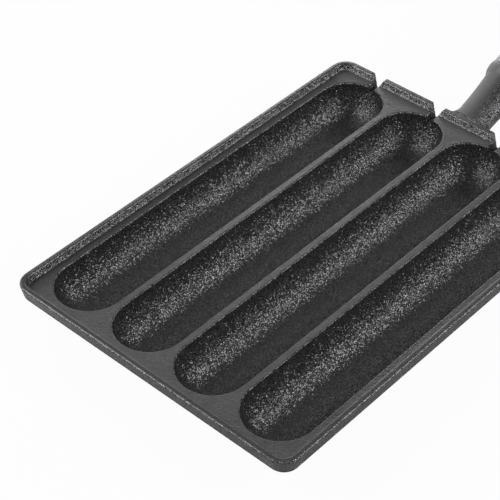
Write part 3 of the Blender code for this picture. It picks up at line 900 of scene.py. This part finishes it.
def grip():
    """The outline from the bore's front edge over both spigots and the body, closed by the bore.

    The body's radius swells and falls as smoothsteps, less V-shaped cuts and rounded shoulders.
    """
    front, tail = FERRULE_R - SHEET - GAP, CAP_R - SHEET - GAP
    chamfer = SHEET + GAP
    low, high = FERRULE_START + FERRULE_LENGTH + GAP, CAP_END - CAP_LENGTH - GAP
    cuts = [low + cut for cut in CUTS] + [high - cut for cut in CUTS]
    shoulder = np.linspace(0, SHOULDER_ROUND, 8)
    stations = [np.linspace(low, high, 70), low + shoulder, high - shoulder]
    stations += [cut + np.linspace(-CUT_HALF, CUT_HALF, 7) for cut in cuts]
    u = np.unique(np.concatenate(stations))
    t = (u - low) / (high - low)
    rise = np.clip(t / GRIP_SWELL_AT, 0, 1)
    fall = np.clip((t - GRIP_SWELL_AT) / (1 - GRIP_SWELL_AT), 0, 1)
    radius = GRIP_FRONT_R + (GRIP_SWELL_R - GRIP_FRONT_R) * rise * rise * (3 - 2 * rise)
    radius += (GRIP_TAIL_R - GRIP_SWELL_R) * fall * fall * (3 - 2 * fall)
    for cut in cuts:
        radius -= CUT_DEPTH * np.clip(1 - np.abs(u - cut) / CUT_HALF, 0, 1)
    edge = np.clip(SHOULDER_ROUND - np.minimum(u - low, high - u), 0, SHOULDER_ROUND)
    radius -= SHOULDER_ROUND - np.sqrt(SHOULDER_ROUND ** 2 - edge ** 2)
    body = np.stack([radius, u], -1)
    spigots = []
    for spigot, first, last, groove in (
        (front, GRIP_START + chamfer, low, FERRULE_START + FERRULE_GROOVE),
        (tail, high, GRIP_END - chamfer, CAP_END - CAP_GROOVE),
    ):
        s = np.linspace(first, last, 40)
        spigots.append(np.stack([spigot - rolled_groove(s, groove), s], -1))
    start = [[HOLE, GRIP_START], [front - chamfer, GRIP_START]]
    end = [[tail - chamfer, GRIP_END], [HOLE, GRIP_END], [HOLE, GRIP_START]]
    return turned("grip", np.concatenate([start, spigots[0], body, spigots[1], end]), 96)


wood = Finish("oiled_hardwood")
_, along, up = handle_coordinates(wood)


def grain(across, run, detail, roughness):
    """Noise drawn out along the grip, from its scale across the wood and its scale along it."""
    place = wood.point(wood.x * across, along * run, up * across)
    return wood.noise(1.0, detail, roughness, place)


wander = grain(60.0, 14.0, 3.0, 0.5)
fibre = grain(1500.0, 34.0, 4.0, 0.65)
vessel = grain(2700.0, 150.0, 2.0, 0.5)
tone = grain(50.0, 22.0, 3.0, 0.5)
from_pith = ((wood.x - PITH[0]) ** 2.0 + (up - PITH[1]) ** 2.0).math("SQRT") + wander * RING_WANDER
late = (from_pith / RING_WIDTH).math("FRACT").above(*LATE_BAND)
pore = vessel.above(*PORE_BAND) * (1 - late * LATE_PORES)
ends = along.above(*TAIL_STAIN) + (1 - along.above(*FRONT_STAIN))
depth = (late * LATE_DARKER + (fibre - 0.5) * FIBRE_DARKER + (tone - 0.5) * TONE_DARKER
         + ends * END_DARKER)
colour = wood.blend(depth.math("MAXIMUM", 0.0).math("MINIMUM", 1.0), WOOD_LIGHT, WOOD_DARK)
handled = tone.above(*HANDLED_BAND)
wood_finish = wood.surface(
    base_color=wood.blend(pore * PORE_DARKER, colour, WOOD_PORE),
    roughness=(WOOD_ROUGHNESS + pore * PORE_ROUGHER + (fibre - 0.5) * FIBRE_ROUGHER
               - handled * HANDLED_SMOOTHER),
    normal=wood.bump(fibre * FIBRE_HEIGHT - pore * PORE_SUNK + late * LATE_HEIGHT, WOOD_DEPTH),
    metallic=0.0,
)
finish_piece(grip(), "turned_grip", wood_finish, "pan_and_handle", "grip",
             GRIP_CREASE)


# The tie rod: a drawn steel bar with a thread rolled on each end, one for the collar's tapped hole
# and one for the nut. It runs through both cups and the grip.
WASHER_START = CAP_END + GAP
WASHER_THICK = 0.0016
NUT_START = WASHER_START + WASHER_THICK + GAP
ROD_IN_NUT = 0.007
ROD_END = NUT_START + ROD_IN_NUT
ROD_CHAMFER = 0.0005
THREAD_PITCH = 0.001
THREAD_DEPTH = 0.00055
THREAD_STEP = THREAD_PITCH / 9
FRONT_THREAD = 0.024
TAIL_THREAD = 0.017
ROD_CREASE = math.radians(50)
STEEL_BRIGHT = (0.43, 0.425, 0.41)
STEEL_DULL = (0.27, 0.25, 0.22)


def threaded_rod():
    """A bar whose radius dips as a raised cosine of the thread's phase: station / pitch - turn.

    Each thread fades in over one pitch where it meets the plain bar, and both ends are chamfered.
    """
    front = np.arange(ROD_START + ROD_CHAMFER, ROD_START + FRONT_THREAD, THREAD_STEP)
    tail = np.arange(ROD_END - TAIL_THREAD, ROD_END - ROD_CHAMFER, THREAD_STEP)
    plain = np.linspace(front[-1], tail[0], 8)[1:-1]
    u = np.concatenate([front, plain, tail, [ROD_END - ROD_CHAMFER]])[:, None]
    turn = np.linspace(0.0, 1.0, 41)[None, :-1]
    reach = np.minimum(np.abs(u - ROD_START - FRONT_THREAD), np.abs(u - ROD_END + TAIL_THREAD))
    threaded = (u < ROD_START + FRONT_THREAD) | (u > ROD_END - TAIL_THREAD)
    cut = threaded * np.clip(reach / THREAD_PITCH, 0, 1)
    groove = 0.5 + 0.5 * np.cos(2 * math.pi * (u / THREAD_PITCH - turn))
    radius = ROD_R - THREAD_DEPTH * cut * groove
    tip = ROD_R - THREAD_DEPTH - ROD_CHAMFER / 2
    rows = [(0.0, ROD_START), (tip, ROD_START), None, (tip, ROD_END), (0.0, ROD_END)]
    radii = [radius if row is None else np.full(turn.shape, row[0]) for row in rows]
    stations = [u if row is None else np.full((1, 1), row[1]) for row in rows]
    radius, u = np.concatenate(radii), np.concatenate(stations)
    return solid("tie_rod", about_axis(radius, 2 * math.pi * turn, u), caps=False)


bare = steel("bare_steel", STEEL_BRIGHT, STEEL_DULL, polish=0.33, line_depth=0.3, cloudy=0.46)
finish_piece(threaded_rod(), "threaded_rod", bare, "pan_and_handle", "tie_rod",
             ROD_CREASE)


# The end cap: the same pressed work as the ferrule, shorter, over the grip's tail spigot, with its
# closed end out, so that the nut draws it, the grip and the ferrule together.
cap = pressed_cup("end_cap", CAP_R, CAP_END, -1.0, CAP_LENGTH, CAP_GROOVE)
finish_piece(cap, "tail_cap", plated, "pan_and_handle", "end_cap", CUP_CREASE)


# The lock washer: a spring washer coiled from square wire and cut on a slant, drawn nearly flat
# between the cap and the nut, with its gap on the underside.
WASHER_R = 0.0059
WASHER_GAP = 0.0012
WASHER_SLANT = math.radians(25.0)
WASHER_SPRING = 0.00012
WASHER_CORNER = 0.00025
WASHER_CREASE = math.radians(35)


def spring_washer():
    """A rounded square section carried round the axis, rising evenly from one cut end to the other.

    The turn of each point grows with its station, so that the two cut faces lean over.
    """
    half = WASHER_THICK / 2 - WASHER_SPRING
    middle = (HOLE + WASHER_R) / 2
    wide = (WASHER_R - HOLE) / 2
    corners = [
        (0.0, -half), (wide, -half), (wide, half), (-wide, half), (-wide, -half), (0.0, -half),
    ]
    section = rounded(corners, (WASHER_CORNER,) * 4, 4)[:-1]
    span = 2 * math.pi - WASHER_GAP / middle
    t = np.linspace(-0.5, 0.5, 97)[:, None]
    radius = middle + section[:, 0]
    station = section[:, 1] + 2 * WASHER_SPRING * t
    angle = math.pi / 2 + span * t + math.tan(WASHER_SLANT) * section[:, 1] / middle
    place = WASHER_START + WASHER_THICK / 2 + station
    return solid("lock_washer", about_axis(radius, angle, place))


finish_piece(spring_washer(), "spring_washer", bare, "pan_and_handle", "lock_washer",
             WASHER_CREASE)


# The eye nut: a steel forging, a hexagon with turned-off corners, a blind tapped hole and a round
# eye on a short stem. It screws on the rod and clamps the whole handle.
NUT_FLAT = 0.005
NUT_HEIGHT = 0.0095
NUT_TAPER = math.tan(math.radians(30.0))
NUT_FACE = NUT_FLAT - 0.0002
NUT_CUT_PAST = 0.001
NUT_CREASE = math.radians(24)
DRILL_POINT = 0.0008
STEM_SINK = 0.0004
STEM_REACH = 0.0028
STEM_X = 0.0022
STEM_X_FLARE = 0.0017
STEM_UP = 0.0034
STEM_UP_FLARE = 0.0009
EYE_R = 0.0055
EYE_SPARE = 0.00001
EYE_THICK = 0.005
EYE_HOLE = 0.0018
EYE_SIDE = 0.0035
EYE_ROUNDS = (0.0013, 0.0013, 0.0006, 0.0006)
EYE_AT = NUT_START + NUT_HEIGHT + EYE_R - EYE_HOLE / 2
EYE_Y = FACE_Y + EYE_AT * math.cos(RISE)
EYE_Z = AXIS_Z + EYE_AT * math.sin(RISE)


def hexagon():
    """A prism whose radius at a turn is the flat over the cosine from its middle, cut by end cones.

    The cone meets each line of the wall where its own radius is the prism's, which gives the curved
    upper ends of the flats.
    """
    angle = np.linspace(0.0, 2 * math.pi, 97)[:-1]
    wall = NUT_FLAT / np.cos((angle + math.pi / 6) % (math.pi / 3) - math.pi / 6)
    face = np.full_like(wall, NUT_FACE)
    drop = (wall - face) * NUT_TAPER
    none = np.zeros_like(wall)
    radius = np.stack([none, face, wall, wall, face, none])
    station = np.stack([none, none, drop, NUT_HEIGHT - drop, none + NUT_HEIGHT, none + NUT_HEIGHT])
    return solid("eye_nut", about_axis(radius, angle, NUT_START + station), caps=False)


def eye():
    """A ring section with well-rounded edges turned about the line across the handle."""
    half = EYE_THICK / 2
    rim = EYE_R - EYE_SPARE
    corners = [
        (EYE_SIDE, half), (rim, half), (rim, -half),
        (EYE_HOLE, -half), (EYE_HOLE, half), (EYE_SIDE, half),
    ]
    section = rounded(corners, EYE_ROUNDS, 8)
    angle = np.linspace(0.0, 2 * math.pi, 65)[:-1]
    out, side = section[:, :1], section[:, 1:]
    grid = on_axis(side, out * np.sin(angle), EYE_AT + out * np.cos(angle))
    return solid("eye", grid, caps=False)


def stem():
    """Ellipses from the nut's top to inside the eye, drawn in as a quarter ellipse."""
    angle = np.linspace(0.0, 2 * math.pi, 49)[:-1]
    t = np.linspace(0.0, math.pi / 2, 9)[:, None]
    station = NUT_START + NUT_HEIGHT - STEM_SINK + STEM_REACH * (1 - np.cos(t))
    spread = 1 - np.sin(t)
    across = (STEM_X + STEM_X_FLARE * spread) * np.cos(angle)
    up = (STEM_UP + STEM_UP_FLARE * spread) * np.sin(angle)
    return solid("stem", on_axis(across, up, station))


nut = hexagon()
mouth, bottom = NUT_START - NUT_CUT_PAST, ROD_END + GAP
point = bottom + DRILL_POINT
tapped = turned("nut_bore", [(0.0, mouth), (HOLE, mouth), (HOLE, bottom), (0.0, point)], 32)
combine(nut, [("UNION", stem()), ("UNION", eye()), ("DIFFERENCE", tapped)])
finish_piece(nut, "nut_with_eye", bare, "pan_and_handle", "eye_nut", NUT_CREASE)


# The hanging ring: plated wire bent to a circle whose two ends butt together, loose in the eye. It
# hangs straight down and swings about the line across the handle.
LOOP_R = 0.0135
WIRE_R = 0.00125
BUTT_GAP = 0.00012
BUTT_AT = math.radians(-62.0)
BUTT_RUN = 0.001
BUTT_ROUND = 0.0003
RING_CREASE = math.radians(50)
SWIRL_SCALE = 700.0
SWIRL_BAND = (0.45, 0.7)
SWIRL_DULL = 0.7
SWIRL_ROUGHER = 0.2
SWIRL_DEPTH = 0.00004
RUB_HEIGHT = 0.004
RUB_DULL = 0.3
RUB_WORN = 0.08
WIRE_ROUGHNESS = 0.2


def wire_ring():
    """A round section carried round a circle, its radius an arc in from each butt end."""
    length = 2 * math.pi * LOOP_R - BUTT_GAP
    end = rounded([(0.0, 0.0), (0.0, WIRE_R), (BUTT_RUN, WIRE_R)], (BUTT_ROUND,), 5)
    middle = np.linspace(BUTT_RUN, length - BUTT_RUN, 120)[1:-1]
    s = np.concatenate([end[:, 0], middle, length - end[::-1, 0]])[:, None]
    wire = np.concatenate([end[:, 1], np.full_like(middle, WIRE_R), end[::-1, 1]])[:, None]
    around = BUTT_AT + (s + BUTT_GAP / 2) / LOOP_R
    turn = np.linspace(0.0, 2 * math.pi, 21)[:-1]
    out = LOOP_R + wire * np.cos(turn)
    x, z = out * np.cos(around), out * np.sin(around)
    y = wire * np.sin(turn)
    grid = np.stack([x, EYE_Y + y, EYE_Z - LOOP_R + z], -1)
    return solid("hanging_ring", grid, caps=False)


ring_plate = Finish("plated_wire")
swirl = ring_plate.noise(SWIRL_SCALE, 3.0, 0.6)
rubbed = ring_plate.z.above(EYE_Z - RUB_HEIGHT, EYE_Z)
dulled = swirl.above(*SWIRL_BAND) * SWIRL_DULL + rubbed * RUB_DULL
ring_plate.surface(
    base_color=ring_plate.blend(dulled, PLATE_BRIGHT, PLATE_DULL),
    roughness=WIRE_ROUGHNESS + (swirl - 0.5) * SWIRL_ROUGHER + rubbed * RUB_WORN,
    normal=ring_plate.bump(swirl, SWIRL_DEPTH),
    metallic=1.0,
)
finish_piece(wire_ring(), "wire_ring", ring_plate.material, "ring", "hanging_ring",
             RING_CREASE)
